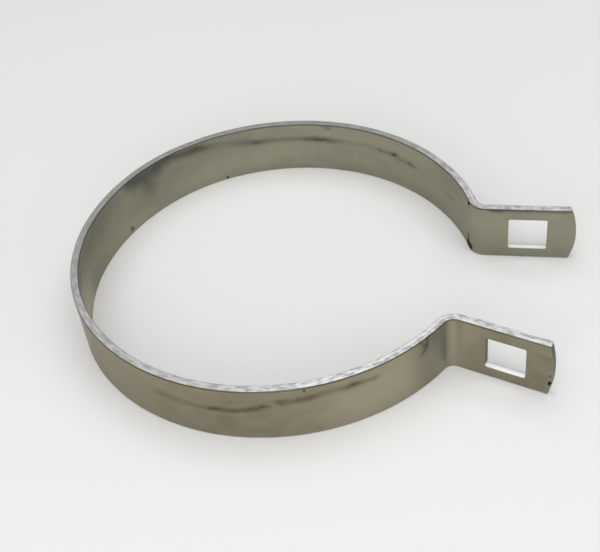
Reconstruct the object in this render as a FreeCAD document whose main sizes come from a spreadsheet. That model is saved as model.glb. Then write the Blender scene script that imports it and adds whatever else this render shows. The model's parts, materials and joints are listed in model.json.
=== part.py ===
"""Fence tension band: one flat steel strip bent round a post, with its ends folded out into two bolt lugs.

Millimetres and degrees. The ring's axis is Z, the origin is at the middle of its bore, and +X runs out through
the middle of the opening. The rear lug is on the +Y side and the front lug on the -Y side.
"""
import FreeCAD, Part
import math
import os
import Sketcher

# Driving dimensions: alias, value and meaning
SIZES = [
    ("bore_diameter", "165.1", "inside of the ring, round the post"),
    ("strip_width", "25.6", "flat bar of 1 inch with its zinc"),
    ("strip_thickness", "3.3", "flat bar of 1/8 inch with its zinc"),
    ("edge_radius", "0.6", "rounding along the edges of the bar"),
    ("opening_angle", "51.3", "part of the circle that the ring leaves open"),
    ("bend_radius", "4.0", "inside radius of the fold at each lug"),
    ("rear_bend_angle", "70.7", "turn of the fold at the rear lug"),
    ("front_bend_angle", "77.4", "turn of the fold at the front lug"),
    ("lug_length", "37.4", "flat length of a lug, from its fold to its tip"),
    ("tip_radius", "38.0", "round of a lug's end, seen on its face"),
    ("hole_length", "16.0", "bolt hole, along the lug"),
    ("hole_height", "15.2", "bolt hole, across the lug"),
    ("hole_corner_radius", "0.8", "corners of the bolt hole"),
    ("rear_hole_tip_distance", "19.7", "from the rear lug's tip to the middle of its hole"),
    ("front_hole_tip_distance", "18.5", "from the front lug's tip to the middle of its hole"),
    ("hole_edge_distance", "4.8", "from the strip's lower edge to the hole"),
]

UP = FreeCAD.Vector(0, 0, 1)
START, END, CENTRE = 1, 2, 3
ORIGIN, X_AXIS = -1, -1


def make_sheet(doc):
    """Puts the driving dimensions in a spreadsheet, each in a cell with its alias."""
    sheet = doc.addObject("Spreadsheet::Sheet", "sizes")
    for row, (alias, value, meaning) in enumerate(SIZES, start=1):
        sheet.set(f"A{row}", alias)
        sheet.set(f"B{row}", value)
        sheet.set(f"C{row}", meaning)
        sheet.setAlias(f"B{row}", alias)
    doc.recompute()
    return sheet


def origin_plane(body, role):
    """The body's own origin plane of that role."""
    return next(plane for plane in body.Origin.OriginFeatures if plane.Role == role)


def new_sketch(body, name, role):
    """An empty sketch on one of the body's origin planes."""
    sketch = body.newObject("Sketcher::SketchObject", name)
    sketch.AttachmentSupport = [(origin_plane(body, role), "")]
    sketch.MapMode = "FlatFace"
    return sketch


def drive(sketch, constraint, expression):
    """Adds a dimension to a sketch and binds it to the sheet."""
    index = sketch.addConstraint(constraint)
    sketch.setExpression(f"Constraints[{index}]", expression)


def point(x, y):
    return FreeCAD.Vector(x, y, 0)


def on_circle(radius, angle):
    return point(radius * math.cos(angle), radius * math.sin(angle))


def arc(centre, radius, start, end):
    """An arc from one angle to another, counter-clockwise."""
    return Part.ArcOfCircle(Part.Circle(centre, UP, radius), start, end)


def rounded_rectangle(sketch, low, high, radius, radius_expression):
    """Draws a rectangle with round corners; returns its bottom, right, top and left lines."""
    corners = [point(low.x, low.y), point(high.x, low.y), point(high.x, high.y), point(low.x, high.y)]
    inward = [point(1, 1), point(-1, 1), point(-1, -1), point(1, -1)]
    lines = []
    arcs = []
    for i in range(4):
        here, after = corners[i], corners[(i + 1) % 4]
        along = (after - here).normalize() * radius
        lines.append(sketch.addGeometry(Part.LineSegment(here + along, after - along)))
    for i in range(4):
        start = math.pi + i * math.pi / 2
        round_corner = arc(corners[i] + inward[i] * radius, radius, start, start + math.pi / 2)
        arcs.append(sketch.addGeometry(round_corner))
    for i in range(4):
        sketch.addConstraint(Sketcher.Constraint("Tangent", arcs[i], END, lines[i], START))
        sketch.addConstraint(Sketcher.Constraint("Tangent", lines[i], END, arcs[(i + 1) % 4], START))
        sketch.addConstraint(Sketcher.Constraint("Vertical" if i % 2 else "Horizontal", lines[i]))
    for other in arcs[1:]:
        sketch.addConstraint(Sketcher.Constraint("Equal", arcs[0], other))
    drive(sketch, Sketcher.Constraint("Radius", arcs[0], radius), radius_expression)
    return lines


def draw_path(body, sheet):
    """The strip's middle line in plan: rear lug, fold, ring, fold, front lug."""
    sketch = new_sketch(body, "strip_path", "XY_Plane")
    half_opening = math.radians(sheet.opening_angle) / 2
    ring_radius = (sheet.bore_diameter + sheet.strip_thickness) / 2
    fold_radius = sheet.bend_radius + sheet.strip_thickness / 2
    ring = sketch.addGeometry(arc(point(0, 0), ring_radius, half_opening, 2 * math.pi - half_opening))
    sketch.addConstraint(Sketcher.Constraint("Coincident", ring, CENTRE, ORIGIN, START))
    sketch.addConstraint(Sketcher.Constraint("Vertical", ring, START, ring, END))
    drive(sketch, Sketcher.Constraint("Radius", ring, ring_radius),
          "(sizes.bore_diameter + sizes.strip_thickness) / 2")
    drive(sketch, Sketcher.Constraint("Angle", ring, 2 * (math.pi - half_opening)),
          "(360 - sizes.opening_angle) * 1 deg")
    for side, lug in ((1, "rear"), (-1, "front")):
        turn = math.radians(getattr(sheet, lug + "_bend_angle"))
        fold_centre = on_circle(ring_radius + fold_radius, side * half_opening)
        heading = side * (half_opening + turn - math.pi / 2)
        to_ring = side * half_opening + math.pi
        to_lug = heading - side * math.pi / 2
        first, last = (to_ring, to_ring + turn) if side > 0 else (to_lug, to_lug + turn)
        fold = sketch.addGeometry(arc(fold_centre, fold_radius, first, last))
        lug_start = fold_centre + on_circle(fold_radius, to_lug)
        lug_end = lug_start + on_circle(sheet.lug_length, heading)
        flat = sketch.addGeometry(Part.LineSegment(lug_start, lug_end))
        ring_end = START if side > 0 else END
        fold_at_ring, fold_at_lug = (START, END) if side > 0 else (END, START)
        sketch.addConstraint(Sketcher.Constraint("Tangent", ring, ring_end, fold, fold_at_ring))
        sketch.addConstraint(Sketcher.Constraint("Tangent", fold, fold_at_lug, flat, START))
        drive(sketch, Sketcher.Constraint("Radius", fold, fold_radius),
              "sizes.bend_radius + sizes.strip_thickness / 2")
        drive(sketch, Sketcher.Constraint("Angle", fold, turn), f"sizes.{lug}_bend_angle * 1 deg")
        drive(sketch, Sketcher.Constraint("Distance", flat, sheet.lug_length), "sizes.lug_length")
    return sketch


def draw_section(body, sheet):
    """The bar's cross-section with its round edges, at the back of the ring."""
    sketch = new_sketch(body, "strip_section", "XZ_Plane")
    half_width = sheet.strip_width / 2
    inside = -sheet.bore_diameter / 2
    low = point(inside - sheet.strip_thickness, -half_width)
    high = point(inside, half_width)
    bottom, inner, top, outer = rounded_rectangle(sketch, low, high, sheet.edge_radius, "sizes.edge_radius")
    drive(sketch, Sketcher.Constraint("DistanceX", inner, START, ORIGIN, START, -inside),
          "sizes.bore_diameter / 2")
    drive(sketch, Sketcher.Constraint("DistanceX", outer, START, inner, START, sheet.strip_thickness),
          "sizes.strip_thickness")
    drive(sketch, Sketcher.Constraint("DistanceY", bottom, START, ORIGIN, START, half_width),
          "sizes.strip_width / 2")
    drive(sketch, Sketcher.Constraint("DistanceY", bottom, START, top, START, sheet.strip_width),
          "sizes.strip_width")
    return sketch


def bend_strip(body, section, path):
    """Sweeps the section along the strip's path."""
    strip = body.newObject("PartDesign::AdditivePipe", "bent_strip")
    strip.Profile = section
    strip.Spine = (path, [])
    return strip


def lug_sketch(body, lug, side, name):
    """A sketch on the upright plane through the ring's axis that is parallel to a lug; its x runs along the lug."""
    sketch = new_sketch(body, f"{lug}_{name}", "XZ_Plane")
    sketch.AttachmentOffset = FreeCAD.Placement(FreeCAD.Vector(), FreeCAD.Rotation(FreeCAD.Vector(0, 1, 0), 1))
    sketch.setExpression("AttachmentOffset.Rotation.Angle",
                         f"{side} * (sizes.opening_angle / 2 + sizes.{lug}_bend_angle - 90) * 1 deg")
    return sketch


def tip_reach(sheet, lug):
    """Distance from the ring's axis to a lug's tip, along the lug: its value and its expression."""
    turn = math.radians(getattr(sheet, lug + "_bend_angle"))
    fold_reach = sheet.bore_diameter / 2 + sheet.strip_thickness + sheet.bend_radius
    value = fold_reach * math.sin(turn) + sheet.lug_length
    expression = ("((sizes.bore_diameter / 2 + sizes.strip_thickness + sizes.bend_radius)"
                  f" * sin(sizes.{lug}_bend_angle * 1 deg) + sizes.lug_length)")
    return value, expression


def cut(body, sketch, side):
    """Cuts a sketch right through the lug on its side of the ring's axis."""
    pocket = body.newObject("PartDesign::Pocket", sketch.Name + "_cut")
    pocket.Profile = sketch
    pocket.Type = "ThroughAll"
    pocket.Reversed = side < 0
    return pocket


def round_tip(body, sheet, lug, side):
    """Trims the square end of a lug to an arc."""
    sketch = lug_sketch(body, lug, side, "tip")
    tip, tip_expression = tip_reach(sheet, lug)
    half_height = sheet.strip_width / 2 + sheet.strip_thickness
    spread = math.asin(half_height / sheet.tip_radius)
    middle = point(tip - sheet.tip_radius, 0)
    past = tip + sheet.strip_thickness
    end_round = sketch.addGeometry(arc(middle, sheet.tip_radius, -spread, spread))
    low = middle + on_circle(sheet.tip_radius, -spread)
    high = middle + on_circle(sheet.tip_radius, spread)
    lower = sketch.addGeometry(Part.LineSegment(low, point(past, low.y)))
    beyond = sketch.addGeometry(Part.LineSegment(point(past, low.y), point(past, high.y)))
    upper = sketch.addGeometry(Part.LineSegment(point(past, high.y), high))
    chain = [(end_round, START, lower, START), (lower, END, beyond, START), (beyond, END, upper, START),
             (upper, END, end_round, END)]
    for first, first_end, second, second_end in chain:
        sketch.addConstraint(Sketcher.Constraint("Coincident", first, first_end, second, second_end))
    sketch.addConstraint(Sketcher.Constraint("Horizontal", lower))
    sketch.addConstraint(Sketcher.Constraint("Vertical", beyond))
    sketch.addConstraint(Sketcher.Constraint("Horizontal", upper))
    sketch.addConstraint(Sketcher.Constraint("PointOnObject", end_round, CENTRE, X_AXIS))
    drive(sketch, Sketcher.Constraint("Radius", end_round, sheet.tip_radius), "sizes.tip_radius")
    drive(sketch, Sketcher.Constraint("DistanceX", ORIGIN, START, end_round, CENTRE, middle.x),
          f"{tip_expression} - sizes.tip_radius")
    drive(sketch, Sketcher.Constraint("DistanceX", ORIGIN, START, beyond, START, past),
          f"{tip_expression} + sizes.strip_thickness")
    drive(sketch, Sketcher.Constraint("DistanceY", beyond, START, ORIGIN, START, half_height),
          "sizes.strip_width / 2 + sizes.strip_thickness")
    drive(sketch, Sketcher.Constraint("DistanceY", beyond, START, beyond, END, 2 * half_height),
          "sizes.strip_width + 2 * sizes.strip_thickness")
    return cut(body, sketch, side)


def punch_hole(body, sheet, lug, side):
    """Punches the oblong bolt hole through a lug."""
    sketch = lug_sketch(body, lug, side, "hole")
    tip, tip_expression = tip_reach(sheet, lug)
    far_end = tip - getattr(sheet, lug + "_hole_tip_distance") + sheet.hole_length / 2
    depth = sheet.strip_width / 2 - sheet.hole_edge_distance
    low = point(far_end - sheet.hole_length, -depth)
    high = point(far_end, sheet.hole_height - depth)
    bottom, right, top, left = rounded_rectangle(sketch, low, high, sheet.hole_corner_radius,
                                                 "sizes.hole_corner_radius")
    drive(sketch, Sketcher.Constraint("DistanceX", ORIGIN, START, right, START, far_end),
          f"{tip_expression} - sizes.{lug}_hole_tip_distance + sizes.hole_length / 2")
    drive(sketch, Sketcher.Constraint("DistanceX", left, START, right, START, sheet.hole_length),
          "sizes.hole_length")
    drive(sketch, Sketcher.Constraint("DistanceY", bottom, START, ORIGIN, START, depth),
          "sizes.strip_width / 2 - sizes.hole_edge_distance")
    drive(sketch, Sketcher.Constraint("DistanceY", bottom, START, top, START, sheet.hole_height),
          "sizes.hole_height")
    return cut(body, sketch, side)


def make_band(doc, sheet):
    """The whole band: the bent strip, its round tips and its bolt holes."""
    body = doc.addObject("PartDesign::Body", "band")
    body.Label = "band"
    body.Placement = FreeCAD.Placement()
    path = draw_path(body, sheet)
    section = draw_section(body, sheet)
    doc.recompute()
    bend_strip(body, section, path)
    doc.recompute()
    for side, lug in ((1, "rear"), (-1, "front")):
        for feature in (round_tip, punch_hole):
            before = body.Shape.Volume
            body.Tip = feature(body, sheet, lug, side)
            doc.recompute()
            if body.Shape.Volume >= before:
                raise RuntimeError(f"{feature.__name__} cut nothing from the {lug} lug")
    return body


def check(doc, bodies):
    """Stops if any object failed or a sub-part has no valid single solid."""
    for item in doc.Objects:
        if "Invalid" in item.State or "Error" in item.State:
            raise RuntimeError(f"{item.Name} failed: {item.State}")
    for body in bodies:
        if body.Shape.isNull() or not body.Shape.isValid() or len(body.Shape.Solids) != 1:
            raise RuntimeError(f"{body.Label} is not one valid solid")


def main():
    doc = FreeCAD.newDocument("tension_band")
    sheet = make_sheet(doc)
    bodies = [make_band(doc, sheet)]
    doc.recompute()
    check(doc, bodies)
    os.makedirs("parts", exist_ok=True)
    for body in bodies:
        body.Shape.exportStep(f"parts/{body.Label}.step")
        box = body.Shape.BoundBox
        print(body.Label, "volume", round(body.Shape.Volume, 1), "faces", len(body.Shape.Faces))
        print("x", round(box.XMin, 2), round(box.XMax, 2), "y", round(box.YMin, 2), round(box.YMax, 2),
              "z", round(box.ZMin, 2), round(box.ZMax, 2))


main()
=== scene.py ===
"""Looks of the fence tension band: one bent steel strip with a dull galvanised finish, on a pale floor.

The strip is drawn flat, with its punched holes, round tips and worn edges, and is then bent along the path
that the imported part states. Strip coordinates are s along the middle line from the back of the ring, positive
towards the rear lug, n through the thickness, positive inwards, and z up.
"""
import json
import math

import bpy
import numpy as np
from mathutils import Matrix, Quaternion, Vector, noise


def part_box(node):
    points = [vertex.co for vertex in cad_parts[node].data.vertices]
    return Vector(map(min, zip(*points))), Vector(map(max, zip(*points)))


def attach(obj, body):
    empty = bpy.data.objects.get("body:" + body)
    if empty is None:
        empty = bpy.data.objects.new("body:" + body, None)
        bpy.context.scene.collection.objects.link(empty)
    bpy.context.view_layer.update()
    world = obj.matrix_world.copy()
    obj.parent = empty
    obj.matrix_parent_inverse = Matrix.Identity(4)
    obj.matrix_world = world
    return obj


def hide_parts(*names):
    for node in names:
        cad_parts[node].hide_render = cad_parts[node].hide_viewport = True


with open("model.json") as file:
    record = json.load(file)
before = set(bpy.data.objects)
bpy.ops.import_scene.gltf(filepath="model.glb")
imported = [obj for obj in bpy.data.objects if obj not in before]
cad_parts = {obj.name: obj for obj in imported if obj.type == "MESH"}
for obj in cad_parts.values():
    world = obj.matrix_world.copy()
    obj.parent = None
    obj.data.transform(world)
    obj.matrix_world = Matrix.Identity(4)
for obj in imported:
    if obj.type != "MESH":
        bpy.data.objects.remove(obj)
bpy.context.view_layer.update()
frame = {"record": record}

MM = 0.001

# Sizes of the strip that the frame doesn't state
BEND_RADIUS = 4.0 * MM
LUG_LENGTH = 37.4 * MM
TIP_RADIUS = {"rear": 32.0 * MM, "front": 50.0 * MM}
HOLE_SIZE = np.array((16.0, 15.2)) * MM
HOLE_CORNER = 0.8 * MM

# Rounding of the worn edges
LONG_EDGE = 0.35 * MM
TIP_EDGE = 0.35 * MM
HOLE_EDGE = 0.3 * MM

# Fineness of the mesh
PITCH = 0.8 * MM
ROUND_STEPS = 4
WALL_SHARES = (0.92, 0.3, -0.3, -0.92)
COLLAR_WIDTH = 2.6 * MM
COLLAR_STEPS = 3

# How far the zinc's edges fall short, its faces dip and the strokes on it wander, each a sum of waves:
# share, reach in millimetres along s, n and z, and seed
EDGE_SHORTFALL = 0.22 * MM
EDGE_WAVES = (
    (0.6, (9, 1, 0.3), 3.1),
    (0.4, (2.5, 1, 0.3), 7.7),
)
FACE_DIP = 0.10 * MM
FACE_WAVES = (
    (0.7, (24, 1.2, 11), 5.3),
    (0.3, (5, 1.2, 4), 1.9),
)
WANDER = 1.0 * MM
WANDER_WAVES = (
    (1.0, (9, 40, 40), 2.7),
)

# Lean of the ring's left side, in millimetres: middle and half reach along s, and inward shift at the lower
# and the upper edge
LEANS = (
    (8, 75, 1.25, 0.0),
    (45, 40, 0.2, -0.45),
)

# Zinc lumps on the front lug's upper edge, in millimetres: middle and half reach along s, height inwards
LUMPS = (
    (-242.0, 4.5, 0.40),
    (-247.0, 2.5, 0.25),
    (-255.0, 4.5, 0.50),
    (-260.5, 3.5, -0.35),
    (-267.5, 2.0, 0.20),
)
LUMP_DEPTH = 2.0 * MM

# Camera at the photograph's viewing angle, with its angles in degrees, lens and sensor in millimetres
CAMERA_TARGET = Vector((6.9, 4.0, -11.4)) * MM
CAMERA_DISTANCE = 470.2 * MM
CAMERA_AZIMUTH = 20.99
CAMERA_ELEVATION = 41.50
CAMERA_ROLL = 7.60
CAMERA_LENS = 65.59
SENSOR_WIDTH = 36
CLIP_START = 10 * MM

# Studio: how bright the surroundings look, how much light they give, and the floor that fades into them,
# with its half size and the fade in metres
BACKDROP_COLOUR = (1.0, 1.0, 1.0, 1.0)
BACKDROP_SEEN = 0.64
BACKDROP_LIGHT = 0.30
FLOOR_REACH = 4.0
FLOOR_FADE = (0.30, 0.70)
FLOOR_COLOUR = (0.86, 0.86, 0.855, 1.0)
FLOOR_ROUGHNESS = 0.9
FLOOR_SPECULAR = 0.1

# Soft boxes that are aimed at the band: name, place and size in metres, power in watts
SOFTBOXES = (
    ("overhead_softbox", (0.0, 0.0, 1.2), 1.8, 13.0),
    ("front_softbox", (0.1, -1.0, 0.35), 0.8, 4.7),
    ("right_softbox", (1.0, -0.35, 0.30), 0.6, 1.7),
)

# Colours, linear
FACE_COOL = (0.253, 0.250, 0.190)
FACE_WARM = (0.262, 0.238, 0.170)
# Painted light: the face colour of the lighter strokes that paint where more light falls
FACE_PAINTED_LIGHT = (0.400, 0.368, 0.275)
# Painted light: the paler, greener colour of the band beside the front fold
FACE_PALE = (0.305, 0.308, 0.265)
HUE_ROSE = (1.018, 0.992, 0.985)
HUE_GREEN = (0.982, 1.006, 1.0)
GRAZING = (0.97, 0.95, 0.87, 1.0)
# Bright zinc, partly a painted highlight of the light that the long edges catch
EDGE_ZINC_HIGHLIGHT = (0.70, 0.70, 0.715)
EDGE_DULL = (0.36, 0.36, 0.365)
# Painted shade of the edge zinc, where the upper edge catches less light
EDGE_SHADED = (0.285, 0.285, 0.278)
# Hole walls: the bottom's sheared and broken zinc with painted light, the sides with painted shade
LIT_HOLE_SHEAR = (0.88, 0.88, 0.86)
LIT_HOLE_BREAK = (0.58, 0.58, 0.58)
SIDE_CUT_SHADE = (0.106, 0.104, 0.095)
TIP_CUT = (0.092, 0.093, 0.080)
# Dark colours of the stains, also used for painted shade
STAIN_AND_SHADE_COOL = (0.052, 0.050, 0.037)
STAIN_AND_SHADE_WARM = (0.073, 0.054, 0.023)
# Dark slate of the smudges, also used for painted shade
SLATE_SMUDGE_AND_SHADE = (0.085, 0.088, 0.078)
PIT = (0.010, 0.009, 0.007)

# Gloss and relief of the finish
METALLIC = 0.85
BUMP_STRENGTH = 0.3
BUMP_HEIGHT = 0.08 * MM
SPECK_RELIEF = 0.5

# Grains of the finish: reach in millimetres along s, n and z, and detail
GRAIN_ROUGHNESS = 0.55
CLOUD = ((26, 4, 15), 3.0)
TINGE = ((10, 4, 7), 3.0)
BLOTCH = ((7, 3, 5), 4.0)
STREAK = ((30, 3, 1.2), 4.0)
SPECK = ((0.8, 0.8, 0.8), 2.0)
FLAKE = ((5, 3, 1.5), 5.0)
PATCH = ((4.0, 1.6, 1.6), 4.0)

# What a grain does: a low and a high level of it, and the results there
CLOUD_TINT = (0.3, 0.7, -0.4, 0.4)
TINGE_HUE = (0.35, 0.65, 0.0, 1.0)
BLOTCH_SHADE = (0.3, 0.7, 0.92, 1.08)
SPECK_SHADE = (0.3, 0.7, -0.03, 0.03)
STREAK_SHADE = (0.3, 0.7, 0.96, 1.04)
BLOTCH_ROUGHNESS = (0.3, 0.7, 0.38, 0.48)
SMUDGE_AND_SHADE_BREAK = (0.25, 0.6, 0.75, 1.0)
STAIN_AND_SHADE_BREAK = (0.30, 0.55, 0.65, 1.1)
UPPER_EDGE_SHADE_BREAK = (0.3, 0.6, 0.4, 0.8)
GLINT_BREAK = (0.4, 0.6, 0.2, 0.7)
PATCH_ZINC = (0.35, 0.60, 0.0, 1.0)
PATCH_SHADE = (0.35, 0.65, 1.0, 0.92)

# Painted shade as a dark line under the upper edge, and a painted glint over the lower one: two distances
# from the edge in millimetres, and the strengths there
UPPER_EDGE_SHADE_FADE = (0.5, 1.0, 1.0, 0.0)
GLINT_FADE = (0.2, 1.0, 1.0, 0.0)

# Where one finish gives way to the next, in millimetres: n from the outer face to the inner, depth under a
# face, distance from a long edge, height over a hole's lower wall, distance along s from the holes to the
# tips, and n times s, in square millimetres, from a hole's broken side to its sheared side
FACE_CHANGE = (-1.0, 1.0)
SKIN_CHANGE = (0.15, 0.3)
RIM_CHANGE = (0.3, 0.6)
FOOT_CHANGE = (0.2, 0.8)
TIP_CHANGE = (265.0, 266.0)
PUNCH_CHANGE = (-260.0, 100.0)

# Sockets of the mix node, when it mixes colours
MIX_FACTOR, MIX_FIRST, MIX_SECOND = 0, 6, 7
MIX_RESULT = 2

# Strokes on the faces, in millimetres: the face, then stops along the stroke with s, z, half width and
# strength
INNER, OUTER = 1, -1
# Dark stains and streaks. The line and broad band at the rear fold and the broad darker patches on the outer
# face are painted shade; a further band runs darker along the front lug's lower edge
STAINS_AND_SHADE = (
    (INNER, (44, 11.0, 1.6, 0.40), (52, 10.9, 1.9, 0.72), (60, 10.2, 2.0, 0.66), (68, 9.5, 2.1, 0.75),
     (77, 8.3, 2.0, 0.35), (84, 7.0, 1.8, 0.20), (90, 5.7, 1.6, 0.35), (97, 5.0, 1.2, 0.72),
     (99.5, 4.9, 1.2, 0.52), (103, 4.8, 1.2, 0.44), (114, 4.5, 1.0, 0.36), (119, 4.5, 1.1, 0.44),
     (122, 4.3, 1.2, 0.66), (125, 4.1, 1.3, 0.88), (128, 3.9, 1.4, 0.87), (134, 4.0, 1.3, 0.58),
     (140, 4.2, 1.1, 0.25), (152, 4.3, 0.9, 0.20), (157.5, 4.0, 0.7, 0.25), (159.2, 3.7, 0.8, 0.75),
     (161, 3.6, 0.7, 0.40), (164.2, 3.7, 0.8, 0.40), (166.2, 3.7, 0.9, 0.80), (167.6, 4.0, 1.0, 1.00),
     (169.8, 4.3, 0.7, 0.35)),
    (INNER, (169, 2.8, 1.1, 0.30), (172, 2.5, 0.9, 0.32), (174, 2.5, 0.9, 0.28), (176.4, 2.7, 0.9, 0.75),
     (179, 2.3, 0.9, 0.42), (182, 2.2, 0.8, 0.10)),
    (INNER, (129, 11.5, 0.6, 0.15), (131, 11.2, 0.7, 0.45), (133, 10.9, 0.8, 0.60), (134, 10.3, 0.7, 0.20)),
    (INNER, (200, 0.3, 0.9, 0.10), (206, 0.8, 0.9, 0.30), (211, 1.6, 0.9, 0.10)),
    (INNER, (214, 11.5, 1.2, 0.06), (221, 10.8, 1.2, 0.16), (224.5, 10.3, 1.0, 0.22)),
    (INNER, (234, 12.1, 0.6, 0.10), (236.5, 11.9, 0.7, 0.70), (239.5, 11.8, 0.8, 0.78),
     (242, 12.0, 0.6, 0.45), (268, 12.0, 0.6, 0.45)),
    (INNER, (226.4, 12.0, 1.6, 0.30), (226.4, 0.0, 1.6, 0.16), (226.2, -12.0, 1.6, 0.30)),
    (INNER, (223, 10.0, 4.0, 0.12), (223, -8.0, 4.0, 0.08)),
    (INNER, (-3.5, -6.2, 0.9, 0.08), (-0.5, -8.2, 1.0, 0.20), (0.8, -9.2, 0.8, 0.12)),
    (OUTER, (-196, 7.2, 0.9, 0.08), (-193, 7.1, 1.0, 0.60), (-190.5, 7.6, 1.0, 0.42), (-187, 8.1, 1.2, 0.66),
     (-185, 8.3, 1.4, 0.76), (-183, 8.0, 1.3, 0.66), (-180.5, 7.9, 1.2, 0.45), (-177, 8.0, 1.2, 0.36),
     (-173, 7.9, 1.3, 0.47), (-169, 7.1, 1.5, 0.68), (-165, 6.7, 1.4, 0.66), (-162, 6.2, 1.4, 0.40),
     (-158.6, 5.9, 1.3, 0.78), (-156.6, 7.0, 0.9, 0.60), (-154.8, 7.0, 0.8, 0.10)),
    (OUTER, (-154, 4.6, 0.8, 0.45), (-151.5, 4.6, 1.2, 0.90), (-149.5, 4.1, 1.3, 0.88),
     (-147, 3.4, 1.3, 0.74), (-144, 2.7, 1.4, 0.74), (-140, 2.5, 1.4, 0.70), (-136, 2.5, 1.3, 0.75),
     (-132, 2.1, 1.2, 0.85), (-130, 2.3, 1.3, 0.46), (-122, 2.8, 1.7, 0.40), (-111, 3.2, 1.5, 0.38),
     (-106, 3.0, 1.0, 0.00)),
    (OUTER, (-217, 12.5, 0.7, 0.90), (-216.9, 10.5, 0.6, 0.75), (-216.6, 8.4, 0.9, 0.80),
     (-216.2, 6.4, 0.9, 0.50)),
    (OUTER, (-213.8, 12.3, 0.8, 0.60), (-215, 10.5, 0.7, 0.45), (-215.2, 9.0, 0.8, 0.70),
     (-214.4, 7.6, 0.7, 0.30)),
    (OUTER, (-216.4, 7.0, 0.7, 0.35), (-214.8, 6.1, 0.9, 0.60), (-213.4, 5.4, 0.7, 0.30)),
    (OUTER, (-152, -3.0, 10.0, 0.09), (-136, -1.0, 11.0, 0.18), (-118, 0.0, 12.0, 0.09)),
    (OUTER, (-272, 0.0, 13.0, 0.16), (-263, 0.0, 13.0, 0.12), (-256, 0.0, 10.0, 0.00)),
    (OUTER, (-268, -11.0, 4.0, 0.14), (-243, -11.0, 4.0, 0.14)),
)
# Slate smudges with painted shade among them: the darker upper part of the inner face on the left is partly
# painted shade, and the band in the outer corner beside the front fold is painted shade
SMUDGES_AND_SHADE = (
    (INNER, (24, 12.2, 1.8, 0.40), (28, 11.5, 3.2, 0.92), (33, 10.0, 4.2, 0.95), (44, 9.6, 4.6, 0.95),
     (50, 10.6, 3.4, 0.62), (57, 12.0, 1.8, 0.25)),
    (INNER, (38.5, 7.5, 6.0, 0.92), (39, 4.0, 4.6, 0.72), (39.5, 0.0, 4.0, 0.38), (41, -4.0, 3.0, 0.00)),
    (INNER, (40, 0.0, 6.0, 0.10), (48, 0.5, 6.5, 0.17), (56, 1.0, 6.5, 0.14), (66, 1.0, 6.0, 0.05)),
    (INNER, (-52, 10.5, 4.0, 0.72), (-42, 10.8, 4.5, 0.90), (-30, 10.2, 5.0, 0.72), (-12, 8.0, 7.0, 0.60),
     (2, 8.8, 6.0, 0.60), (14, 10.0, 5.0, 0.32), (22, 10.5, 4.0, 0.14)),
    (OUTER, (-218, 13.0, 5.0, 0.30), (-215, 5.0, 5.0, 0.30), (-217, -13.0, 5.0, 0.18)),
    (INNER, (-18, -2.0, 4.5, 0.10), (-15, -6.0, 4.5, 0.13), (-8, -9.0, 4.5, 0.10)),
    (OUTER, (-70, 13.0, 9.0, 0.20), (-70, -13.0, 9.0, 0.22)),
)
# Painted light: lighter strokes where more light falls on the faces, among them the painted highlight beside
# the front fold
PAINTED_LIGHT_STROKES = (
    (OUTER, (-211, 0.0, 8.0, 0.07), (-200, -1.0, 14.0, 0.62), (-188, -3.0, 13.0, 0.58),
     (-176, -4.0, 10.0, 0.20)),
    (OUTER, (-238, 10.0, 4.5, 0.62), (-235, 3.0, 5.0, 0.66), (-234, -4.0, 5.0, 0.48),
     (-233, -10.0, 5.0, 0.50)),
    (INNER, (-48, -4.0, 5.0, 0.45), (-38, -8.0, 6.0, 0.95), (-28, -10.0, 5.0, 0.95), (-22, -11.0, 4.0, 0.35),
     (-16, -11.0, 4.0, 0.00)),
    (INNER, (-8, -11.0, 4.0, 0.10), (0, -11.0, 4.0, 0.20), (14, -10.5, 5.0, 0.50), (32, -11.0, 4.0, 0.50),
     (46, -11.0, 3.0, 0.18)),
    (INNER, (2.2, -8.0, 1.2, 0.34), (3.6, -9.6, 1.4, 0.42), (5.5, -10.5, 1.2, 0.30)),
    (INNER, (50, -7.5, 5.5, 0.20), (62, -7.5, 5.5, 0.42), (84, -6.5, 6.5, 0.40), (104, -4.5, 8.0, 0.38),
     (130, -3.0, 10.0, 0.28), (172, -3.0, 10.0, 0.30), (205, -5.0, 8.0, 0.20), (222, -6.0, 6.0, 0.06)),
    (INNER, (100, 9.0, 5.0, 0.16), (145, 8.0, 6.0, 0.40), (175, 9.0, 6.0, 0.46), (186, 9.5, 5.0, 0.42),
     (200, 8.0, 5.0, 0.06)),
    (INNER, (229, 6.0, 8.0, 0.46), (238, 6.0, 10.0, 0.44), (250, 0.0, 12.0, 0.26), (268, 0.0, 12.0, 0.22)),
    (INNER, (242, 10.0, 3.0, 0.28), (262, 10.0, 3.0, 0.36)),
)
# Painted light: a paler, greener band on the outer face beside the front fold
PALE = (
    (OUTER, (-224, 13.0, 5.0, 0.80), (-224, 0.0, 5.0, 0.70), (-223, -13.0, 4.0, 0.40)),
)

# How dark the upper edge's zinc is painted, as painted shade where it catches less light: places along s in
# millimetres, and the share that is shaded
RIM_SHADE_ALONG = (
    (-170, 0.0), (-140, 0.45), (-110, 0.56), (-60, 0.70), (0, 0.92), (140, 0.88), (180, 0.68), (215, 0.15),
)

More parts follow.
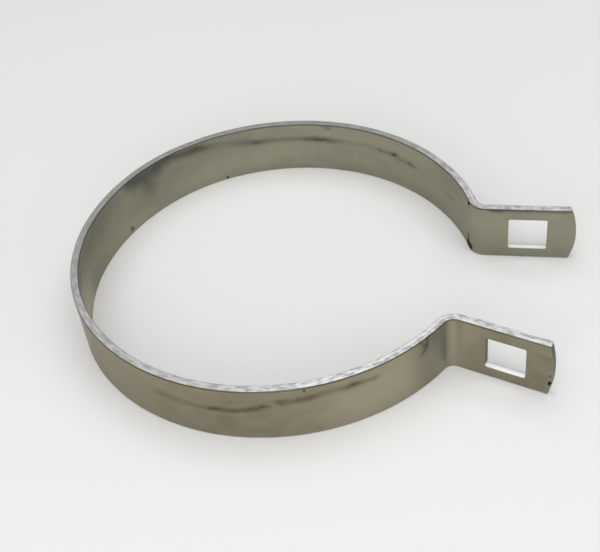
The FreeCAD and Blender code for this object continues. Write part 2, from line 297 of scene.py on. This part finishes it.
# Small dark pits, in millimetres and degrees: face, middle along s and z, half length and height, slope and
# strength; the share of a pit's radius that is fully dark; and how the outlines fray
PITS = (
    (OUTER, -270.8, -6.4, 0.7, 1.6, 10.0, 1.0),
    (OUTER, -270.9, -2.4, 0.4, 0.7, 0.0, 0.8),
    (OUTER, -167, 11.2, 0.6, 1.1, 0.0, 0.6),
    (OUTER, -216.2, 8.4, 1.4, 0.8, -15.0, 0.35),
    (OUTER, -215.4, 6.2, 1.3, 0.7, -30.0, 0.3),
    (INNER, 226.0, 11.2, 2.3, 1.2, 35.0, 0.8),
    (INNER, 226.0, -8.6, 1.7, 4.2, 8.0, 0.65),
    (INNER, 226.6, -11.2, 3.4, 3.0, 0.0, 0.9),
    (INNER, 80.5, -12.0, 0.9, 1.5, 0.0, 0.65),
    (INNER, 22.2, -10.2, 1.7, 1.3, -30.0, 0.55),
)
PIT_CORE = 0.6
RAG_REACH = 1.2
RAG_DETAIL = 3.0
RAG_SHIFT = 1.8

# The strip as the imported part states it
mounts = {mount["name"]: mount for mount in frame["record"]["mounts"]}
box_low, box_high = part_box("band")
bore_radius = mounts["post_clamp"]["dims"]["r_mm"] * MM
thickness = -box_low.x - bore_radius
half_thickness = thickness / 2
half_width = box_high.z
ring_radius = bore_radius + half_thickness
fold_radius = BEND_RADIUS + half_thickness


def unit(angle):
    """The direction in plan at an angle from x."""
    return np.array((np.cos(angle), np.sin(angle)))


class Half:
    """One half of the strip's path: half the ring, a fold and a lug."""

    def __init__(self, name, side):
        face = mounts[name + "_lug_face"]
        normal = Vector(face["axis"])
        inner_offset = -Vector(face["pos_m"]).dot(normal)
        self.side = side
        self.tip_radius = TIP_RADIUS[name]
        self.heading = math.atan2(normal.x, -side * normal.y)
        self.turn = math.acos((inner_offset + BEND_RADIUS + thickness) / (ring_radius + fold_radius))
        self.half_opening = self.heading + math.pi / 2 - self.turn
        self.ring_length = ring_radius * (math.pi - self.half_opening)
        self.fold_length = fold_radius * self.turn
        self.lug_start = self.ring_length + self.fold_length
        self.length = self.lug_start + LUG_LENGTH
        hole = Vector(mounts[name + "_bolt_hole"]["pos_m"])
        along = Vector((math.cos(self.heading), side * math.sin(self.heading), 0))
        lug_foot = (ring_radius + fold_radius) * math.sin(self.turn)
        self.hole = np.array((side * (self.lug_start + hole.dot(along) - lug_foot), hole.z))

    def bend(self, s, n):
        """Plan position of strip points on this half."""
        run = np.abs(s)
        ring_angle = math.pi - np.minimum(run, self.ring_length) / ring_radius
        on_ring = (ring_radius - n) * unit(ring_angle)
        fold_centre = (ring_radius + fold_radius) * unit(self.half_opening)
        turned = np.clip(run - self.ring_length, 0, self.fold_length) / fold_radius
        fold_angle = self.half_opening + math.pi + turned
        on_fold = fold_centre[:, None] + (fold_radius + n) * unit(fold_angle)
        on_lug = on_fold + unit(self.heading)[:, None] * np.maximum(run - self.lug_start, 0)
        x, y = np.where(run <= self.ring_length, on_ring, on_lug)
        return x, self.side * y


rear, front = Half("rear", 1), Half("front", -1)


def round_steps(radius):
    """Distances from an edge at which its rounding is drawn."""
    return radius * (1 - np.cos(np.linspace(0, math.pi / 2, ROUND_STEPS + 1)))


def round_drop(distance, radius):
    """How far the face has dropped at a distance from a rounded edge."""
    inside = np.clip(radius - distance, 0, radius)
    return radius - np.sqrt(radius**2 - inside**2)


def spread(low, high, edge):
    """Grid lines from low to high: close over the rounded edges, even between them."""
    steps = round_steps(edge)[:-1]
    count = round((high - low - 2 * edge) / PITCH)
    between = np.linspace(low + edge, high - edge, count + 1)
    return np.concatenate((low + steps, between, (high - steps)[::-1]))


class Sheet:
    """The flat strip: points (s, z), how far the face drops at each, four-sided cells and edge loops."""

    def __init__(self):
        self.columns = spread(-front.length, rear.length, TIP_EDGE)
        self.rows = spread(-half_width, half_width, LONG_EDGE)
        s, z = np.meshgrid(self.columns, self.rows, indexing="ij")
        drop = np.maximum(
            round_drop(half_width - np.abs(z), LONG_EDGE),
            round_drop(np.minimum(s + front.length, rear.length - s), TIP_EDGE),
        )
        self.index = np.arange(s.size).reshape(s.shape)
        self.points = np.stack((s.ravel(), z.ravel()), 1)
        self.drop = drop.ravel()
        self.kept = np.ones((len(self.columns) - 1, len(self.rows) - 1), bool)
        self.cells = []
        index = self.index
        self.loops = [np.concatenate((index[:-1, 0], index[-1, :-1], index[:0:-1, -1], index[0, :0:-1]))]
        for half in (rear, front):
            self.round_tip(half)
            self.punch(half)
        corners = (index[:-1, :-1], index[1:, :-1], index[1:, 1:], index[:-1, 1:])
        self.cells.append(np.stack([corner[self.kept] for corner in corners], 1))
        self.cells = np.concatenate(self.cells)

    def round_tip(self, half):
        """Draws a lug's end back to its arc."""
        s, z = self.points.T
        start = abs(half.hole[0]) + HOLE_SIZE[0] / 2 + COLLAR_WIDTH + PITCH
        share = np.clip((half.side * s - start) / (half.length - TIP_EDGE - start), 0, 1)
        sagitta = half.tip_radius - np.sqrt(half.tip_radius**2 - z**2)
        self.points[:, 0] -= half.side * sagitta * share

    def punch(self, half):
        """Cuts a lug's hole, with a collar of cells that follow its outline."""
        reach = HOLE_SIZE / 2 + COLLAR_WIDTH
        i0, i1 = np.searchsorted(self.columns, (half.hole[0] - reach[0], half.hole[0] + reach[0]))
        j0, j1 = np.searchsorted(self.rows, (half.hole[1] - reach[1], half.hole[1] + reach[1]))
        self.kept[i0:i1, j0:j1] = False
        index = self.index
        outside = np.concatenate(
            (index[i0:i1, j0], index[i1, j0:j1], index[i1:i0:-1, j1], index[i0, j1:j0:-1])
        )
        away = self.points[outside] - half.hole
        core = np.clip(away, HOLE_CORNER - HOLE_SIZE / 2, HOLE_SIZE / 2 - HOLE_CORNER)
        out = (away - core) / np.linalg.norm(away - core, axis=1)[:, None]
        outline = half.hole + core + HOLE_CORNER * out
        rings = []
        for step in round_steps(HOLE_EDGE):
            rings.append(self.add(outline + step * out, round_drop(step, HOLE_EDGE)))
        lip = outline + HOLE_EDGE * out
        for share in np.linspace(0, 1, COLLAR_STEPS + 2)[1:-1]:
            rings.append(self.add(lip + share * (self.points[outside] - lip), 0))
        rings.append(outside)
        for inner, outer in zip(rings, rings[1:]):
            self.cells.append(np.stack((inner, outer, np.roll(outer, -1), np.roll(inner, -1)), 1))
        self.loops.append(rings[0][::-1])

    def add(self, points, drop):
        """Adds points that share one drop; returns their numbers."""
        first = len(self.points)
        self.points = np.concatenate((self.points, points))
        self.drop = np.concatenate((self.drop, np.full(len(points), drop)))
        return np.arange(first, first + len(points))


def thicken(sheet):
    """Strip coordinates and faces of the solid strip: inner face, outer face and the walls between them."""
    count = len(sheet.points)
    level = half_thickness - sheet.drop
    inner = np.stack((sheet.points[:, 0], level, sheet.points[:, 1]), 1)
    outer = inner * (1, -1, 1)
    points = [inner, outer]
    faces = [sheet.cells, sheet.cells[:, ::-1] + count]
    total = 2 * count
    for loop in sheet.loops:
        rings = [loop]
        for share in WALL_SHARES:
            points.append(inner[loop] * (1, share, 1))
            rings.append(np.arange(total, total + len(loop)))
            total += len(loop)
        rings.append(loop + count)
        for upper, lower in zip(rings, rings[1:]):
            faces.append(np.stack((upper, lower, np.roll(lower, -1), np.roll(upper, -1)), 1))
    return np.concatenate(points), np.concatenate(faces)


def drop_unused(points, faces):
    """Leaves out the points that no face uses, such as those inside the holes."""
    used, renumbered = np.unique(faces, return_inverse=True)
    return points[used], renumbered.reshape(faces.shape)


def waves(points, parts):
    """Smooth noise from 0 to 1 at strip points, as a sum of waves."""
    total = np.zeros(len(points))
    for share, reach, seed in parts:
        scaled = points / (np.array(reach) * MM) + seed
        total += share * np.array([0.5 + 0.5 * noise.noise(place) for place in scaled])
    return total


def swell(s, middle, reach):
    """A smooth rise to 1 at the middle, and 0 beyond the reach, in millimetres along s."""
    return np.cos(np.clip((s / MM - middle) / reach, -1, 1) * math.pi / 2) ** 2


def lean(points):
    """The strip's small departures from a true ring, and the lumps on its edge."""
    s, n, z = points.T
    height = (z / half_width + 1) / 2
    shift = np.zeros_like(s)
    for middle, reach, lower, upper in LEANS:
        shift += swell(s, middle, reach) * (lower + height * (upper - lower))
    near_top = np.clip(1 - (half_width - z) / LUMP_DEPTH, 0, 1) * (n > 0)
    for middle, reach, lump in LUMPS:
        shift += swell(s, middle, reach) * near_top * lump
    leaning = points.copy()
    leaning[:, 1] += shift * MM
    return leaning


def roughen(points):
    """Uneven zinc: edges that fall a little short of the full width, and faces that dip."""
    s, n, z = points.T
    edge = np.stack((s, np.zeros_like(s), np.sign(z) * MM), 1)
    uneven = points.copy()
    uneven[:, 2] = z * (1 - EDGE_SHORTFALL * waves(edge, EDGE_WAVES) / half_width)
    uneven[:, 1] = n * (1 - FACE_DIP * waves(points, FACE_WAVES) / half_thickness)
    return uneven


def bend_strip(points):
    """Places in the frame of strip points."""
    s, n, z = points.T
    placed = np.zeros_like(points)
    for half in (rear, front):
        own = s >= 0 if half.side > 0 else s < 0
        placed[own, 0], placed[own, 1] = half.bend(s[own], n[own])
    placed[:, 2] = z
    return placed


def cover(points, strokes):
    """How strongly a group of strokes covers strip points: each fades out across its half width."""
    wander = WANDER * (waves(points, WANDER_WAVES) - 0.5)
    s, n, z = (points + np.outer(wander, (0, 0, 1))).T / MM
    place = np.stack((s, z), 1)
    total = np.zeros_like(s)
    for face, *stops in strokes:
        for start, end in zip(np.array(stops), np.array(stops)[1:]):
            along = end[:2] - start[:2]
            share = np.clip((place - start[:2]) @ along / (along @ along), 0, 1)[:, None]
            distance = np.linalg.norm(place - start[:2] - share * along, axis=1)
            stroke_width, strength = (start[2:] + share * (end[2:] - start[2:])).T
            here = (n * face > 0) * strength * np.exp2(-(distance / stroke_width) ** 2)
            total = np.maximum(total, here)
    return total


def node(tree, kind, inputs=None, **settings):
    """Adds a shader node; an input is a number, a vector, a colour or another node's output socket."""
    made = tree.nodes.new(kind)
    for name, value in settings.items():
        setattr(made, name, value)
    for name, value in (inputs or {}).items():
        socket = made.inputs[name]
        if isinstance(value, bpy.types.NodeSocket):
            tree.links.new(value, socket)
        elif socket.type == "RGBA":
            socket.default_value = (*value, 1.0)
        else:
            socket.default_value = value
    return made


def calc(tree, operation, *values):
    """A math node's result."""
    return node(tree, "ShaderNodeMath", dict(enumerate(values)), operation=operation).outputs[0]


def vector(tree, operation, *values):
    """A vector math node's result."""
    made = node(tree, "ShaderNodeVectorMath", dict(enumerate(values)), operation=operation)
    return made.outputs["Value" if operation == "LENGTH" else "Vector"]


def ramp(tree, value, low, high, start=0.0, end=1.0):
    """A smooth step from start to end while the value goes from low to high."""
    inputs = {"Value": value, "From Min": low, "From Max": high, "To Min": start, "To Max": end}
    return node(tree, "ShaderNodeMapRange", inputs, interpolation_type="SMOOTHSTEP").outputs["Result"]


def grain(tree, place, reach, detail):
    """Noise with features of the given reach, in millimetres along s, n and z."""
    scaled = node(tree, "ShaderNodeMapping", {"Vector": place, "Scale": [1 / length for length in reach]})
    inputs = {"Vector": scaled.outputs[0], "Scale": 1.0, "Detail": detail, "Roughness": GRAIN_ROUGHNESS}
    return node(tree, "ShaderNodeTexNoise", inputs).outputs["Fac"]


def blend(tree, factor, first, second):
    """A colour mixed from two."""
    inputs = {MIX_FACTOR: factor, MIX_FIRST: first, MIX_SECOND: second}
    return node(tree, "ShaderNodeMix", inputs, data_type="RGBA", clamp_factor=True).outputs[MIX_RESULT]


def share_of(tree, name):
    """A share that is kept with the mesh, such as the cover of a group of strokes."""
    return node(tree, "ShaderNodeAttribute", attribute_name=name).outputs["Fac"]


def pit_cover(tree, place):
    """How strongly the pits cover a place: each fades out from its core to its ragged outline."""
    inputs = {"Vector": place, "Scale": 1 / RAG_REACH, "Detail": RAG_DETAIL}
    ragged = node(tree, "ShaderNodeTexNoise", inputs).outputs["Color"]
    shift = vector(tree, "SUBTRACT", ragged, (0.5, 0.5, 0.5))
    frayed = vector(tree, "MULTIPLY_ADD", shift, (RAG_SHIFT, 0, RAG_SHIFT), place)
    total = 0.0
    for face, s, z, half_length, half_height, slope, strength in PITS:
        local = node(tree, "ShaderNodeMapping", {
            "Vector": frayed,
            "Location": (s, face * half_thickness / MM, z),
            "Rotation": (0, -math.radians(slope), 0),
            "Scale": (half_length, half_thickness / MM, half_height),
        }, vector_type="TEXTURE").outputs[0]
        one = ramp(tree, vector(tree, "LENGTH", local), PIT_CORE, 1.0, strength, 0.0)
        total = calc(tree, "MAXIMUM", total, one)
    return total


class StripSockets:
    """What the parts of the finish share: the strip's coordinates in millimetres, grains and pits."""

    def __init__(self, tree):
        self.place = node(tree, "ShaderNodeAttribute", attribute_name="strip_mm").outputs["Vector"]
        self.along, self.through, self.up = node(tree, "ShaderNodeSeparateXYZ", {0: self.place}).outputs
        self.below_top = calc(tree, "SUBTRACT", half_width / MM, self.up)
        self.above_bottom = calc(tree, "ADD", half_width / MM, self.up)
        self.from_edge = calc(tree, "MINIMUM", self.below_top, self.above_bottom)
        self.under_face = calc(tree, "SUBTRACT", half_thickness / MM, calc(tree, "ABSOLUTE", self.through))
        self.blotch = grain(tree, self.place, *BLOTCH)
        self.streak = grain(tree, self.place, *STREAK)
        self.speck = grain(tree, self.place, *SPECK)
        self.pits = pit_cover(tree, self.place)


def plain_face(tree, strip):
    """Mottled zinc, warm grey outside and cooler inside."""
    cloud = ramp(tree, grain(tree, strip.place, *CLOUD), *CLOUD_TINT)
    tint = calc(tree, "ADD", ramp(tree, strip.through, *FACE_CHANGE), cloud)
    hue = ramp(tree, grain(tree, strip.place, *TINGE), *TINGE_HUE)
    blotches = ramp(tree, strip.blotch, *BLOTCH_SHADE)
    mottling = calc(tree, "ADD", blotches, ramp(tree, strip.speck, *SPECK_SHADE))
    shade = calc(tree, "MULTIPLY", mottling, ramp(tree, strip.streak, *STREAK_SHADE))
    colour = blend(tree, tint, FACE_WARM, FACE_COOL)
    colour = vector(tree, "MULTIPLY", colour, blend(tree, hue, HUE_ROSE, HUE_GREEN))
    return vector(tree, "MULTIPLY", colour, shade)


def marked_face(tree, strip):
    """The faces with their strokes of painted light, smudges and stains with painted shade among them, a
    painted shade line under the upper edge, a painted glint over the lower edge, and the pits.
    """
    stain_and_shade_colour = blend(tree, ramp(tree, strip.through, *FACE_CHANGE), STAIN_AND_SHADE_WARM, STAIN_AND_SHADE_COOL)
    # smudges, with painted shade among them
    smudge_and_shade = calc(tree, "MULTIPLY", share_of(tree, "smudge_and_shade"), ramp(tree, strip.blotch, *SMUDGE_AND_SHADE_BREAK))
    # stains with painted shade among them, broken by flakes
    broken = ramp(tree, grain(tree, strip.place, *FLAKE), *STAIN_AND_SHADE_BREAK)
    stain_and_shade = calc(tree, "MULTIPLY", share_of(tree, "stain_and_shade"), broken)
    # painted shade: a dark line under the upper edge
    upper_edge_shade = ramp(tree, strip.below_top, *UPPER_EDGE_SHADE_FADE)
    upper_edge_shade = calc(tree, "MULTIPLY", upper_edge_shade, ramp(tree, strip.streak, *UPPER_EDGE_SHADE_BREAK))
    glint = ramp(tree, strip.above_bottom, *GLINT_FADE)
    glint = calc(tree, "MULTIPLY", glint, ramp(tree, strip.blotch, *GLINT_BREAK))
    colour = plain_face(tree, strip)
    # painted light from the lighter strokes
    colour = blend(tree, share_of(tree, "painted_light"), colour, FACE_PAINTED_LIGHT)
    # painted light in the band beside the front fold
    colour = blend(tree, share_of(tree, "pale"), colour, FACE_PALE)
    colour = blend(tree, smudge_and_shade, colour, SLATE_SMUDGE_AND_SHADE)
    colour = blend(tree, stain_and_shade, colour, stain_and_shade_colour)
    colour = blend(tree, upper_edge_shade, colour, stain_and_shade_colour)
    colour = blend(tree, glint, colour, EDGE_DULL)
    return blend(tree, strip.pits, colour, PIT)


def long_edge(tree, strip):
    """Bright and dull patches of zinc along the long edges, the bright zinc partly a painted highlight, darker
    where painted shade is laid along them.
    """
    patch = grain(tree, strip.place, *PATCH)
    # painted shade along the edges, broken by the patches
    rim_shade = calc(tree, "MULTIPLY", share_of(tree, "rim_shade"), ramp(tree, patch, *PATCH_SHADE))
    lit_zinc = blend(tree, ramp(tree, patch, *PATCH_ZINC), EDGE_DULL, EDGE_ZINC_HIGHLIGHT)
    return blend(tree, rim_shade, lit_zinc, EDGE_SHADED)


def cut_wall(tree, strip):
    """Walls of the holes, bright at the bottom and dark elsewhere, which is painted light and painted shade,
    and the dark ends of the lugs.
    """
    punched = calc(tree, "MULTIPLY", strip.through, strip.along)
    hole_foot = -HOLE_SIZE[1] / 2 / MM
    side_start, side_end = (hole_foot + height for height in FOOT_CHANGE)
    colour = blend(tree, ramp(tree, punched, *PUNCH_CHANGE), LIT_HOLE_BREAK, LIT_HOLE_SHEAR)
    # painted shade on the holes' side walls
    colour = blend(tree, ramp(tree, strip.up, side_start, side_end), colour, SIDE_CUT_SHADE)
    return blend(tree, ramp(tree, calc(tree, "ABSOLUTE", strip.along), *TIP_CHANGE), colour, TIP_CUT)


def galvanised():
    """Dull galvanised steel: marked grey faces with painted light and shade, brighter zinc along the edges that
    is partly a painted highlight, and cut walls with painted light and shade.
    """
    material = bpy.data.materials.new("galvanised_steel")
    material.use_nodes = True
    tree = material.node_tree
    strip = StripSockets(tree)
    edge = long_edge(tree, strip)
    bare = blend(tree, ramp(tree, strip.from_edge, *RIM_CHANGE), edge, cut_wall(tree, strip))
    colour = blend(tree, ramp(tree, strip.under_face, *SKIN_CHANGE), marked_face(tree, strip), bare)
    rough = calc(tree, "MAXIMUM", ramp(tree, strip.blotch, *BLOTCH_ROUGHNESS), strip.pits)
    relief = calc(tree, "ADD", strip.blotch, calc(tree, "MULTIPLY", strip.speck, SPECK_RELIEF))
    inputs = {"Strength": BUMP_STRENGTH, "Distance": BUMP_HEIGHT, "Height": relief}
    normal = node(tree, "ShaderNodeBump", inputs).outputs["Normal"]
    shader = tree.nodes["Principled BSDF"]
    shader.inputs["Metallic"].default_value = METALLIC
    shader.inputs["Specular Tint"].default_value = GRAZING
    tree.links.new(colour, shader.inputs["Base Color"])
    tree.links.new(rough, shader.inputs["Roughness"])
    tree.links.new(normal, shader.inputs["Normal"])
    return material


def add_object(name, data):
    """Puts a new object into the scene."""
    made = bpy.data.objects.new(name, data)
    bpy.context.scene.collection.objects.link(made)
    return made


def add_shares(mesh, name, shares):
    """Keeps one share per point with the mesh, for its material."""
    mesh.attributes.new(name, "FLOAT", "POINT").data.foreach_set("value", shares)


def make_band():
    """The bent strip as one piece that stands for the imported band."""
    points, faces = drop_unused(*thicken(Sheet()))
    mesh = bpy.data.meshes.new("band_strip")
    mesh.from_pydata(bend_strip(lean(roughen(points))), [], faces.tolist())
    mesh.polygons.foreach_set("use_smooth", np.ones(len(faces), bool))
    place = mesh.attributes.new("strip_mm", "FLOAT_VECTOR", "POINT")
    place.data.foreach_set("vector", (points / MM).ravel())
    for name, strokes in (("stain_and_shade", STAINS_AND_SHADE), ("smudge_and_shade", SMUDGES_AND_SHADE), ("painted_light", PAINTED_LIGHT_STROKES), ("pale", PALE)):
        add_shares(mesh, name, cover(points, strokes))
    add_shares(mesh, "rim_shade", np.interp(points[:, 0] / MM, *np.array(RIM_SHADE_ALONG).T))
    mesh.materials.append(galvanised())
    band = add_object("band_strip", mesh)
    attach(band, "root")
    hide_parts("band")


def seen_ray(tree):
    """1 for a ray from the camera or from a glossy surface, otherwise 0."""
    ray = node(tree, "ShaderNodeLightPath").outputs
    return calc(tree, "MAXIMUM", ray["Is Camera Ray"], ray["Is Glossy Ray"])


def floor_finish():
    """A plain pale surface, which looks like the backdrop far from the band."""
    material = bpy.data.materials.new("floor")
    material.use_nodes = True
    tree = material.node_tree
    shader = tree.nodes["Principled BSDF"]
    shader.inputs["Base Color"].default_value = FLOOR_COLOUR
    shader.inputs["Roughness"].default_value = FLOOR_ROUGHNESS
    shader.inputs["Specular IOR Level"].default_value = FLOOR_SPECULAR
    position = node(tree, "ShaderNodeNewGeometry").outputs["Position"]
    fade = ramp(tree, vector(tree, "LENGTH", position), *FLOOR_FADE)
    far = calc(tree, "MULTIPLY", fade, seen_ray(tree))
    backdrop = node(tree, "ShaderNodeEmission", {"Strength": BACKDROP_SEEN}).outputs[0]
    mixed = node(tree, "ShaderNodeMixShader", {0: far, 1: shader.outputs[0], 2: backdrop}).outputs[0]
    tree.links.new(mixed, tree.nodes["Material Output"].inputs["Surface"])
    return material


def make_floor():
    """The floor under the band."""
    mesh = bpy.data.meshes.new("floor")
    corners = ((-1, -1), (1, -1), (1, 1), (-1, 1))
    points = [(x * FLOOR_REACH, y * FLOOR_REACH, box_low.z) for x, y in corners]
    mesh.from_pydata(points, [], [(0, 1, 2, 3)])
    mesh.materials.append(floor_finish())
    floor = add_object("floor", mesh)


def make_softbox(name, place, size, power):
    """A square soft box aimed at the band."""
    data = bpy.data.lights.new(name, "AREA")
    data.size = size
    data.energy = power
    light = add_object(name, data)
    light.location = place
    light.rotation_mode = "QUATERNION"
    light.rotation_quaternion = Vector(place).to_track_quat("Z", "Y")


def make_world():
    """Even light from all round, which the camera and reflections see as a pale backdrop."""
    world = bpy.data.worlds.new("studio")
    bpy.context.scene.world = world
    world.use_nodes = True
    tree = world.node_tree
    backdrop = tree.nodes["Background"]
    backdrop.inputs["Color"].default_value = BACKDROP_COLOUR
    strength = ramp(tree, seen_ray(tree), 0, 1, BACKDROP_LIGHT, BACKDROP_SEEN)
    tree.links.new(strength, backdrop.inputs["Strength"])


def make_camera():
    """A camera at the photograph's viewing angle."""
    azimuth, elevation = math.radians(CAMERA_AZIMUTH), math.radians(CAMERA_ELEVATION)
    back = Vector((
        math.sin(azimuth) * math.cos(elevation),
        -math.cos(azimuth) * math.cos(elevation),
        math.sin(elevation),
    ))
    data = bpy.data.cameras.new("camera")
    data.lens = CAMERA_LENS
    data.sensor_width = SENSOR_WIDTH
    data.clip_start = CLIP_START
    camera = add_object("camera", data)
    camera.location = CAMERA_TARGET + CAMERA_DISTANCE * back
    camera.rotation_mode = "QUATERNION"
    roll = Quaternion((0, 0, 1), -math.radians(CAMERA_ROLL))
    camera.rotation_quaternion = back.to_track_quat("Z", "Y") @ roll
    bpy.context.scene.camera = camera


make_band()
make_floor()
for softbox in SOFTBOXES:
    make_softbox(*softbox)
make_world()
make_camera()
bpy.context.scene.view_settings.view_transform = "Standard"
